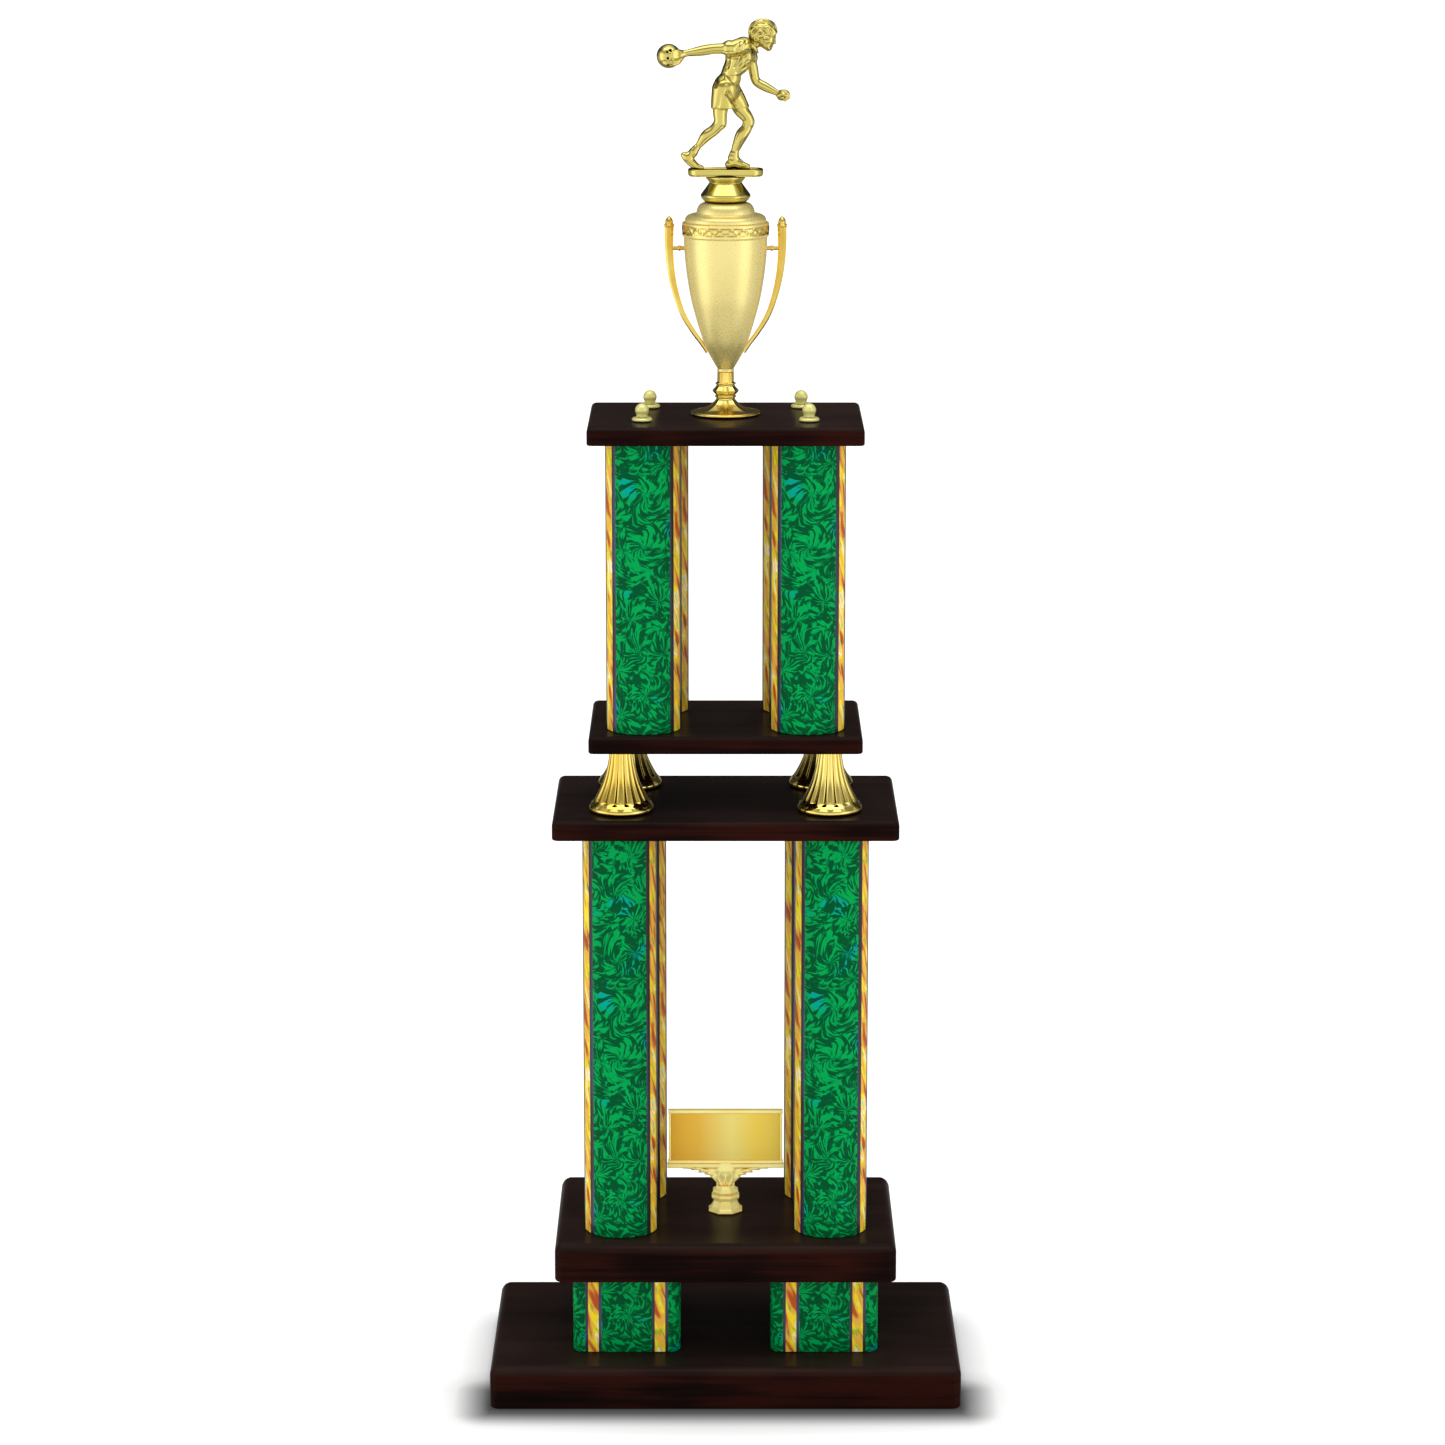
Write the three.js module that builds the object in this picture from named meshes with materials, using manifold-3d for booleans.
// A four-post, two-tier bowling trophy: a wide wooden base on which short risers, two wooden decks, four tall
// posts, two more decks on trumpet spacers and four upper posts are stacked and clamped by threaded rods. A
// lidded cup with a bowler figure stands on the top deck, and a plaque on its stand on the lowest deck.
// Millimetres, +Z up, front towards -Y. The origin is the middle of the base's underside.
import * as THREE from 'three';
import { mergeVertices } from 'three/addons/utils/BufferGeometryUtils.js';
import Module from 'manifold-3d';

const wasm = await Module();
wasm.setup();

// ---- Driving dimensions ------------------------------------------------------------------------------
const GAP = 0.3; // clearance left between pieces that touch
const base = { width: 373, depth: 216, thick: 33.5, round: 6, corner: 8 };
const lowerDeck = { width: 270, depth: 184, thick: 30.5, round: 6, corner: 8 };
const middleDeck = { width: 270, depth: 168, thick: 15.5, round: 3.5, corner: 6 };
const upperDeck = { width: 213, depth: 145, thick: 13.5, round: 3, corner: 5 };
const topDeck = { width: 213, depth: 145, thick: 14, round: 3, corner: 5 };
const riser = { width: 85.6, depth: 50, height: 66, corner: 9, wall: 2.4 };
const lowerPost = { radius: 29, wall: 1.8, height: 326 };
const upperPost = { radius: 29, wall: 1.8, height: 227.5 };
const bell = { height: 51, wall: 2.2 };
const rod = { radius: 3.175, sides: 8 };
const hole = { radius: 3.6, sides: 8 };
const nut = { acrossCorners: 12.6, height: 5.4, flangeRadius: 6.7, flangeThick: 1.4 };
const recess = { radius: 8, sides: 12 };
const baseRecess = 12;
const lowerRods = { front: 81.5, rear: 76.6, y: 45 };
const upperRods = { front: 64.4, rear: 59.4, y: 37 };
const risers = { front: 78.7, rear: 82, y: 45 };
const lowerPosts = { front: 83.2, rear: 76.8, y: 45 };
const upperPosts = { front: 63.9, rear: 58.4, y: 37 };
const washerHeight = 3.4;
const ball = { radius: 5.3, centre: 5.2 };
const cup = { footHeight: 33.6, rim: 140, rimRadius: 33, bandTop: 149.7, coverHeight: 15.2 };
const handle = { x: 43.6, top: 147, strutZ: 129.8, bottomRadius: 1.8, topRadius: 3.8 };
const figureRiserHeight = 20;
const plinth = { width: 58, depth: 26, thick: 5.6, corner: 10 };
const spigot = { radius: 7, length: 7.6 }; // the boss under the plinth, which seats in the riser
const bolt = { headHeight: 5, headRadius: 6.3 };
const plaque = { width: 92, plateWidth: 87.6, plateHeight: 39, frameBottom: 37, frameHeight: 48, y: -2 };
const plaqueScrew = { radius: 2, headRadius: 4, headHeight: 2.6, recess: 4, into: 10 };

// Heights of the stack, from the floor up.
const nutTotal = nut.height + nut.flangeThick;
const deckRecess = nutTotal + 0.6;
const baseTop = base.thick;
const lowerDeckBottom = baseTop + riser.height;
const lowerDeckTop = lowerDeckBottom + lowerDeck.thick;
const middleDeckBottom = lowerDeckTop + lowerPost.height;
const middleDeckTop = middleDeckBottom + middleDeck.thick;
const upperDeckBottom = middleDeckTop + bell.height;
const upperDeckTop = upperDeckBottom + upperDeck.thick;
const topDeckBottom = upperDeckTop + upperPost.height;
const topDeckTop = topDeckBottom + topDeck.thick;
const coverBottom = cup.bandTop + GAP; // this and the next three are above the top deck
const coverTop = coverBottom + cup.coverHeight;
const figureRiserTop = coverTop + figureRiserHeight;
const plinthTop = figureRiserTop + GAP + plinth.thick;

// ---- Materials ---------------------------------------------------------------------------------------
const paint = (color, roughness, metalness) =>
  new THREE.MeshStandardMaterial({ color, roughness, metalness, flatShading: true });
const wood = paint(0x22100c, 0.25, 0);
const greenFilm = paint(0x00863f, 0.25, 0.2);
const figureGold = paint(0xb9a94a, 0.22, 1);
const cupGold = paint(0xe8d27a, 0.3, 1);
const bellGold = paint(0xd9ad45, 0.15, 1);
const plaqueGold = paint(0xf3d98a, 0.4, 1);
const plateGold = paint(0xe6b54f, 0.3, 1);
const finialGold = paint(0xeee38a, 0.3, 0.6);
const zinc = paint(0x9a9c9e, 0.4, 1);

// ---- Solids ------------------------------------------------------------------------------------------
// A closed geometry as a solid that can be cut and joined.
function solid(geometry) {
  const bare = geometry.index ? geometry.toNonIndexed() : geometry.clone();
  bare.deleteAttribute('normal');
  bare.deleteAttribute('uv');
  const merged = mergeVertices(bare, 1e-4);
  const mesh = new wasm.Mesh({
    numProp: 3,
    vertProperties: merged.attributes.position.array,
    triVerts: new Uint32Array(merged.index.array),
  });
  return new wasm.Manifold(mesh);
}

function geometryOf(made) {
  const { numProp, numVert, vertProperties, triVerts } = made.getMesh();
  const points = new Float32Array(numVert * 3);
  for (let i = 0; i < numVert; i++) {
    points.set(vertProperties.subarray(i * numProp, i * numProp + 3), i * 3);
  }
  const geometry = new THREE.BufferGeometry();
  geometry.setAttribute('position', new THREE.BufferAttribute(points, 3));
  geometry.setIndex(new THREE.BufferAttribute(new Uint32Array(triVerts), 1));
  geometry.computeVertexNormals();
  return geometry;
}

const join = (...geometries) => geometries.map(solid).reduce((a, b) => a.add(b));
const cut = (body, ...tools) => tools.map(solid).reduce((a, b) => a.subtract(b), body);

// An upright cylinder, cone or prism standing on z.
function upright(radius, height, sides, z, x = 0, y = 0, topRadius = radius) {
  const geometry = new THREE.CylinderGeometry(topRadius, radius, height, sides);
  return geometry.rotateX(Math.PI / 2).translate(x, y, z + height / 2);
}

// A body turned about the Z axis from a loop of [radius, height] points, which may touch the axis.
function turned(loop, sides, turn = 0) {
  const points = loop.map(([radius, z]) => new THREE.Vector2(radius, z));
  let area = 0;
  points.forEach((p, i) => { area += p.cross(points[(i + 1) % points.length]); });
  if (area < 0) points.reverse();
  points.push(points[0].clone());
  return new THREE.LatheGeometry(points, sides).rotateX(Math.PI / 2).rotateZ(turn);
}

function roundedRectangle(target, width, depth, radius) {
  const x = width / 2 - radius;
  const y = depth / 2 - radius;
  const quarter = Math.PI / 2;
  target.absarc(x, -y, radius, -quarter, 0);
  target.absarc(x, y, radius, 0, quarter);
  target.absarc(-x, y, radius, quarter, 2 * quarter);
  target.absarc(-x, -y, radius, 2 * quarter, 3 * quarter);
  return target;
}

// A chain of tapering round limbs through [x, y, z, radius] points, with round ends.
function limb(points, sides = 6) {
  const parts = [];
  points.forEach(([x, y, z, radius], i) => {
    parts.push(new THREE.SphereGeometry(radius, sides, 3).translate(x, y, z));
    if (i === 0) return;
    const [x0, y0, z0, radius0] = points[i - 1];
    parts.push(bar(new THREE.Vector3(x0, y0, z0), new THREE.Vector3(x, y, z), radius0, radius, sides));
  });
  return parts;
}

// A tapering round bar between two points.
function bar(from, to, fromRadius, toRadius, sides) {
  const along = to.clone().sub(from);
  const geometry = new THREE.CylinderGeometry(toRadius, fromRadius, along.length(), sides);
  const upward = new THREE.Vector3(0, 1, 0);
  geometry.applyQuaternion(new THREE.Quaternion().setFromUnitVectors(upward, along.normalize()));
  const middle = from.clone().add(to).multiplyScalar(0.5);
  return geometry.translate(middle.x, middle.y, middle.z);
}

// A rounded mass with three half-sizes, leaning forward about Y.
function mass([x, y, z], [rx, ry, rz], lean = 0) {
  return new THREE.SphereGeometry(1, 9, 6).scale(rx, ry, rz).rotateY(lean).translate(x, y, z);
}

// ---- Assembly ----------------------------------------------------------------------------------------
const trophy = new THREE.Group();

function place(name, geometry, material, x = 0, y = 0, z = 0) {
  const mesh = new THREE.Mesh(geometry, material);
  mesh.name = name;
  mesh.position.set(x, y, z);
  trophy.add(mesh);
}

// The four corners of a tier, the front ones a little wider apart than the rear ones.
const corners = ({ front, rear, y }) => [
  ['front_left', -front, -y],
  ['front_right', front, -y],
  ['rear_left', -rear, y],
  ['rear_right', rear, y],
];
const lowerCorners = corners(lowerRods);
const upperCorners = corners(upperRods);
const middle = [['middle', 0, 0]];

// ---- Decks and base ----------------------------------------------------------------------------------
// A board with a rounded top edge, standing on z = 0.
function board({ width, depth, thick, round, corner }) {
  const outline = roundedRectangle(new THREE.Shape(), width, depth, corner);
  const slab = new THREE.ExtrudeGeometry(outline, {
    depth: thick - round,
    bevelThickness: round,
    bevelSize: round,
    bevelOffset: -round,
    bevelSegments: 2,
    curveSegments: 3,
  });
  const below = new THREE.BoxGeometry(width + 2, depth + 2, 2 * round).translate(0, 0, -round);
  return cut(solid(slab), below);
}

const rodHoles = (places, thick) =>
  places.map(([, x, y]) => upright(hole.radius, thick + 2, hole.sides, -1, x, y));
const recesses = (places, depth) =>
  places.map(([, x, y]) => upright(recess.radius, depth + 1, recess.sides, -1, x, y));

const baseBoard = cut(board(base), ...rodHoles(lowerCorners, base.thick), ...recesses(lowerCorners, baseRecess));
place('base_board', geometryOf(baseBoard), wood);

const lowerDeckBoard = cut(board(lowerDeck), ...rodHoles(lowerCorners, lowerDeck.thick),
  upright(plaqueScrew.radius + GAP, lowerDeck.thick + 2, 8, -1, 0, plaque.y),
  upright(plaqueScrew.headRadius + 0.6, plaqueScrew.recess + 1, 12, -1, 0, plaque.y));
place('lower_deck', geometryOf(lowerDeckBoard), wood, 0, 0, lowerDeckBottom);

const middleDeckBoard = cut(board(middleDeck), ...rodHoles(lowerCorners, middleDeck.thick));
place('middle_deck', geometryOf(middleDeckBoard), wood, 0, 0, middleDeckBottom);

const upperDeckBoard = cut(board(upperDeck), ...rodHoles(lowerCorners, upperDeck.thick),
  ...rodHoles(upperCorners, upperDeck.thick), ...recesses(upperCorners, deckRecess));
place('upper_deck', geometryOf(upperDeckBoard), wood, 0, 0, upperDeckBottom);

const topDeckBoard = cut(board(topDeck), ...rodHoles(upperCorners, topDeck.thick),
  ...rodHoles(middle, topDeck.thick), ...recesses(middle, deckRecess));
place('top_deck', geometryOf(topDeckBoard), wood, 0, 0, topDeckBottom);

// ---- Posts, risers and spacers -----------------------------------------------------------------------
function tube({ radius, wall, height }) {
  const inner = radius - wall;
  return turned([[inner, GAP], [radius, GAP], [radius, height - GAP], [inner, height - GAP]], 24);
}

function riserTube() {
  const { width, depth, corner, wall, height } = riser;
  const outline = roundedRectangle(new THREE.Shape(), width, depth, corner);
  outline.holes.push(roundedRectangle(new THREE.Path(), width - 2 * wall, depth - 2 * wall, corner - wall));
  const options = { depth: height - 2 * GAP, bevelEnabled: false, curveSegments: 5 };
  return new THREE.ExtrudeGeometry(outline, options).translate(0, 0, GAP);
}

// A hollow trumpet: a straight rim, a flare, and a narrow neck closed by a web that the rod goes through.
function bellShell() {
  const { height, wall } = bell;
  const rim = 25.6;
  const outside = [[rim, GAP], [rim, 3.6], [20.8, 10.4], [15.7, 20], [11.6, 33], [9.4, height - GAP]];
  const inside = [[hole.radius, height - GAP], [hole.radius, height - 4], [7.4, height - 6], [9.4, 33],
    [13.4, 20], [18.6, 10.4], [rim - wall, 3.6], [rim - wall, GAP]];
  return turned([...outside, ...inside], 16);
}

for (const [corner, x, y] of corners(risers)) {
  place(`riser_${corner}`, riserTube(), greenFilm, x, y, baseTop);
}
for (const [corner, x, y] of lowerCorners) {
  place(`bell_${corner}`, bellShell(), bellGold, x, y, middleDeckTop);
}
for (const [corner, x, y] of corners(lowerPosts)) {
  place(`lower_post_${corner}`, tube(lowerPost), greenFilm, x, y, lowerDeckTop);
}
for (const [corner, x, y] of corners(upperPosts)) {
  place(`upper_post_${corner}`, tube(upperPost), greenFilm, x, y, upperDeckTop);
}

// ---- Rods and their nuts -----------------------------------------------------------------------------
// A flange nut standing on z = 0, with its flange at its bottom or at its top.
function flangeNut(flangeOnTop) {
  const flangeZ = flangeOnTop ? nut.height : 0;
  const hexZ = flangeOnTop ? 0 : nut.flangeThick;
  const body = join(upright(nut.acrossCorners / 2, nut.height, 6, hexZ),
    upright(nut.flangeRadius, nut.flangeThick, 12, flangeZ));
  return geometryOf(cut(body, upright(rod.radius + GAP, nutTotal + 2, 8, -1)));
}

// A dished washer with a rolled lip.
const washerLoop = [[hole.radius, GAP], [6.8, GAP], [8, 1.5], [7.4, 2.7], [6.4, washerHeight],
  [5, 2.6], [hole.radius, 2.4]];

// A ball nut with a blind threaded hole and a short neck that passes into the washer.
function ballNut() {
  const bore = { radius: rod.radius + GAP, top: ball.centre + 1.5 };
  const neckRadius = 4.4;
  const seat = -Math.acos(neckRadius / ball.radius);
  const steps = 5;
  const round = Array.from({ length: steps }, (_, i) => {
    const angle = seat + ((Math.PI / 2 - seat) * i) / steps;
    return [ball.radius * Math.cos(angle), ball.centre + ball.radius * Math.sin(angle)];
  });
  return turned([[0, bore.top], [bore.radius, bore.top], [bore.radius, 0], [neckRadius, 0], ...round,
    [0, ball.centre + ball.radius]], 12);
}

const lowerRodFrom = baseRecess - nutTotal - 2;
const lowerRodLength = upperDeckTop + nutTotal + 2 - lowerRodFrom;
for (const [corner, x, y] of lowerCorners) {
  place(`lower_rod_${corner}`, upright(rod.radius, lowerRodLength, rod.sides, 0), zinc, x, y, lowerRodFrom);
  place(`base_nut_${corner}`, flangeNut(true), zinc, x, y, baseRecess - nutTotal - GAP);
  place(`deck_nut_${corner}`, flangeNut(false), zinc, x, y, upperDeckTop + GAP);
}

const upperRodFrom = upperDeckBottom + 0.2;
const upperRodLength = topDeckTop + washerHeight + ball.centre + 1 - upperRodFrom;
for (const [corner, x, y] of upperCorners) {
  place(`upper_rod_${corner}`, upright(rod.radius, upperRodLength, rod.sides, 0), zinc, x, y, upperRodFrom);
  place(`upper_nut_${corner}`, flangeNut(true), zinc, x, y, upperDeckBottom + deckRecess - nutTotal - GAP);
  place(`finial_washer_${corner}`, turned(washerLoop, 12), finialGold, x, y, topDeckTop);
  place(`finial_ball_${corner}`, ballNut(), finialGold, x, y, topDeckTop + washerHeight + GAP);
}

// ---- Cup ---------------------------------------------------------------------------------------------
// An eight-sided foot: a wide curved skirt, a waist, a knob and the socket of the stem.
const footLoop = [[hole.radius, GAP], [26.2, GAP], [27.6, 1.6], [26, 3.4], [17.6, 5.4], [10.4, 8.2], [7.4, 12],
  [7.6, 15.4], [10.2, 19], [7.2, 22.6], [6.4, 25], [6.4, cup.footHeight], [hole.radius, cup.footHeight]];
place('cup_foot', turned(footLoop, 8, Math.PI / 8), cupGold, 0, 0, topDeckTop);

// The bowl: a thin shell, wide at its rim band and drawn in to a short stem.
const stemBottom = cup.footHeight + GAP;
const bowlOutside = [[6.2, stemBottom], [6.2, 36], [8, 39], [12, 46], [16.3, 54], [20.1, 66], [23.9, 79],
  [27.3, 92], [30.5, 112], [32, 128], [32.4, cup.rim], [cup.rimRadius + 0.5, cup.rim + 0.6],
  [cup.rimRadius, cup.rim + 1.8], [cup.rimRadius, cup.bandTop - 1.6],
  [cup.rimRadius + 0.6, cup.bandTop - 0.8], [cup.rimRadius, cup.bandTop]];
const bowlInside = [[31.2, cup.bandTop], [30.6, 128], [29, 112], [25.6, 92], [22, 79], [18, 66], [14, 54],
  [9.4, 47], [hole.radius, 43], [hole.radius, stemBottom]];
place('cup_bowl', turned([...bowlOutside, ...bowlInside], 18), cupGold, 0, 0, topDeckTop);

// The cover: a low dome and a smaller one on it, with a lip that drops into the bowl.
function coverLoop() {
  const from = coverBottom;
  return [[hole.radius, coverTop - 3], [14, coverTop - 3], [20, from + 6], [28.6, from + 2], [28.6, from - 4],
    [30.6, from - 4], [30.6, from], [31.6, from], [31.2, from + 2.4], [29.4, from + 5], [26, from + 6.2],
    [22.6, from + 6.6], [22.3, from + 8.4], [21.2, from + 11.6], [19.4, from + 14], [17, coverTop],
    [hole.radius, coverTop]];
}
place('cup_cover', turned(coverLoop(), 18), cupGold, 0, 0, topDeckTop);

// A handle: a tapering bar that bows out from the bowl, with a strut to the bowl and a pointed tip on top.
// It is cut back from the bowl by the bowl's own outline.
function cupHandle(side) {
  const at = (x, z) => new THREE.Vector3(side * x, 0, z);
  const spine = new THREE.CatmullRomCurve3([at(15, 50.6), at(24.4, 64), at(32.4, 77), at(38.3, 93.4),
    at(42.2, 112), at(handle.x, 128), at(handle.x, handle.top)]);
  const steps = 6;
  const stations = Array.from({ length: steps + 1 }, (_, i) => {
    const t = i / steps;
    const radius = handle.bottomRadius + (handle.topRadius - handle.bottomRadius) * t;
    return [...spine.getPoint(t).toArray(), radius];
  });
  const links = stations.slice(1).map((to, i) => {
    const from = stations[i];
    const overlap = new THREE.Vector3(...to.slice(0, 3)).lerp(new THREE.Vector3(...from.slice(0, 3)), -0.06);
    return bar(new THREE.Vector3(...from.slice(0, 3)), overlap, from[3], to[3], 6);
  });
  const strut = bar(at(30, handle.strutZ), at(handle.x, handle.strutZ), 1.3, 1.3, 6);
  const cap = upright(4.2, 2.4, 8, handle.top - 0.4, side * handle.x);
  const tip = upright(3.2, 6, 8, handle.top + 1.6, side * handle.x, 0, 0.5);
  const bowlSpace = bowlOutside.map(([radius, z]) => [radius + GAP, z]);
  const body = join(...links, strut, cap, tip);
  return geometryOf(cut(body, turned([[0, stemBottom], ...bowlSpace, [0, cup.bandTop]], 18)));
}

place('cup_handle_left', cupHandle(-1), cupGold, 0, 0, topDeckTop);
place('cup_handle_right', cupHandle(1), cupGold, 0, 0, topDeckTop);

// The bolt that clamps the cup, from a recess under the top deck up into the figure's boss.
const boltTop = topDeck.thick + figureRiserTop + 1;
const boltHeadZ = deckRecess - GAP - bolt.headHeight;
const cupBolt = join(upright(bolt.headRadius, bolt.headHeight, 6, boltHeadZ),
  upright(rod.radius, boltTop - boltHeadZ - 1, rod.sides, boltHeadZ + 1));
place('cup_bolt', geometryOf(cupBolt), zinc, 0, 0, topDeckBottom);

// The riser under the figure: a cone ring, a waist and a cupped ring that holds the figure's boss.
function riserLoop() {
  const seat = figureRiserHeight - spigot.length - GAP;
  const boss = spigot.radius + GAP;
  return [[hole.radius, GAP], [16, GAP], [19.3, 5], [19, 6.2], [12.5, 15], [15.3, 19.2],
    [15.1, figureRiserHeight], [boss, figureRiserHeight], [boss, seat], [hole.radius, seat]];
}
place('figure_riser', turned(riserLoop(), 16), figureGold, 0, 0, topDeckTop + coverTop);

// ---- Bowler ------------------------------------------------------------------------------------------
// One moulding, facing +X with its right side towards the front, at the end of the backswing. Heights in
// this section are above the top of the plinth.
function bowler() {
  const trunk = [
    mass([-1.4, 0, 59], [11.4, 11, 10.6], -0.25),
    mass([3.6, 0, 72], [6.6, 8.6, 8], 0.3),
    mass([10.6, 0, 84], [8.4, 11.6, 13], 0.5),
    mass([15.4, 0, 93], [6.8, 13, 6.4], 0.5),
  ];
  const shorts = [
    limb([[-2, -5.6, 57, 8.8], [-4.4, -6, 49.4, 7]], 8),
    limb([[3, 5.6, 57, 8.4], [11, 6, 49.6, 7.2]], 8),
  ].flat();
  const arms = [
    limb([[12, -12, 96, 5.4], [0, -12.6, 94, 4.4], [-10, -13, 94, 4], [-22, -12.6, 91.7, 3.4],
      [-30.4, -12.2, 91, 2.5], [-35.4, -12, 90, 3.4]]),
    limb([[20.6, 12, 89, 5.2], [22.2, 13, 78, 4.4], [23.8, 13, 67.6, 3.6], [32.4, 12, 62.2, 3.2],
      [38.8, 11, 59, 2.6], [44.6, 10.6, 56.4, 5.4]]),
  ].flat();
  const bowlingBall = mass([-43, -12, 88.8], [9.2, 9.2, 9.2]);
  const head = [
    limb([[19, 0, 94, 4.6], [26, 0, 99, 4]]),
    mass([29.8, 0, 104.6], [9.6, 8.6, 10.2], 0.3),
    mass([31.8, 0, 99.6], [6.6, 5.4, 7.2], 0.2),
  ].flat();
  const legs = [
    limb([[-4.4, -6, 50, 5.9], [-4.5, -6, 34.8, 4.8], [-15.8, -6, 25, 5.2], [-22, -6, 15.7, 3],
      [-24.6, -6, 9, 3]]),
    limb([[11, 6, 50, 6.4], [18.8, 6, 35.4, 4.6], [12.2, 6, 25.3, 4.8], [7.7, 6, 11, 3.1],
      [7, 6, 3, 3]]),
  ].flat();
  const feet = [
    limb([[-29.6, -6, 12.6, 3.4], [-22.4, -6, 4.2, 3.4], [-18, -6, 1.8, 2.6]]),
    limb([[3.8, 6, 3, 3.6], [10, 6, 2.6, 3.8], [16.4, 6, 1.2, 3]]),
  ].flat();
  const slab = new THREE.ExtrudeGeometry(
    roundedRectangle(new THREE.Shape(), plinth.width, plinth.depth, plinth.corner),
    { depth: plinth.thick, bevelEnabled: false, curveSegments: 4 },
  ).translate(0, 0, -plinth.thick);
  const boss = upright(spigot.radius, spigot.length + 1, 16, -plinth.thick - spigot.length);
  const sunk = 1; // how far the soles go into the plinth
  const below = new THREE.BoxGeometry(120, 80, 20).translate(0, 0, -10 - sunk);
  const person = cut(join(...trunk, ...shorts, ...arms, bowlingBall, ...head, ...legs, ...feet), below);
  const boltHole = upright(hole.radius, spigot.length + 4, hole.sides, -plinth.thick - spigot.length - 1);
  return geometryOf(cut(person.add(join(slab, boss)), boltHole));
}

place('bowler_figure', bowler(), figureGold, 0, 0, topDeckTop + plinthTop);

// ---- Plaque ------------------------------------------------------------------------------------------
// An upright panel from an outline drawn in X and Z, from y = front to y = back.
function panel(outline, front, back) {
  const options = { depth: back - front, bevelEnabled: false, curveSegments: 4 };
  return new THREE.ExtrudeGeometry(outline, options).rotateX(Math.PI / 2).translate(0, back, 0);
}

// The holder: a turned foot and rings, a leaf-shaped bracket, and a shallow tray that takes the plate.
function plaqueHolder() {
  const { width, plateWidth, plateHeight, frameBottom, frameHeight } = plaque;
  const trayFront = -3.4;
  const trayBack = 2;
  const frameMiddle = frameBottom + frameHeight / 2;
  const rectangle = (w, h) => roundedRectangle(new THREE.Shape(), w, h, 1.2);
  const tray = panel(rectangle(width, frameHeight), trayFront, trayBack).translate(0, 0, frameMiddle);
  const sill = panel(rectangle(width + 1.6, 5), trayFront - 1.2, trayBack).translate(0, 0, frameBottom + 2.5);
  const plateZ = frameBottom + 6 + plateHeight / 2;
  const pocket = panel(rectangle(plateWidth + 2 * GAP, plateHeight + 2 * GAP), trayFront - 1, -1.2)
    .translate(0, 0, plateZ);
  const leaf = new THREE.Shape();
  leaf.moveTo(-7.8, 21);
  leaf.quadraticCurveTo(-7.6, 27, -9.4, 29.6);
  leaf.lineTo(-20.6, 33.4);
  leaf.lineTo(-43, frameBottom + 1);
  leaf.lineTo(43, frameBottom + 1);
  leaf.lineTo(20.6, 33.4);
  leaf.lineTo(9.4, 29.6);
  leaf.quadraticCurveTo(7.6, 27, 7.8, 21);
  const bracket = panel(leaf, -4, 3);
  const foot = turned([[0, GAP], [14, GAP], [14.6, 1.6], [9.6, 9.4], [9.8, 10.6], [12.2, 13], [10, 15.4],
    [11, 17], [8.2, 19.6], [7.6, 24], [0, 24]], 8, Math.PI / 8);
  const screwHole = upright(plaqueScrew.radius + GAP, plaqueScrew.into + 1.4, 8, -1);
  const tapered = new THREE.BoxGeometry(19, 3, frameHeight).translate(0, trayBack + 1, frameMiddle - 8);
  return geometryOf(cut(join(tray, sill).subtract(solid(pocket)).add(join(bracket, foot, tapered)), screwHole));
}

place('plaque_holder', plaqueHolder(), plaqueGold, 0, plaque.y, lowerDeckTop);
const plate = panel(roundedRectangle(new THREE.Shape(), plaque.plateWidth, plaque.plateHeight, 0.9), -2.3, -1.5);
place('engraving_plate', plate, plateGold, 0, plaque.y,
  lowerDeckTop + plaque.frameBottom + 6 + plaque.plateHeight / 2);

const screwTop = lowerDeck.thick + plaqueScrew.into;
const screwHeadZ = plaqueScrew.recess - plaqueScrew.headHeight - GAP;
const screw = join(upright(plaqueScrew.headRadius, plaqueScrew.headHeight, 10, screwHeadZ),
  upright(plaqueScrew.radius, screwTop - screwHeadZ - 1, 8, screwHeadZ + 1));
place('plaque_screw', geometryOf(screw), zinc, 0, plaque.y, lowerDeckBottom);

export default trophy;
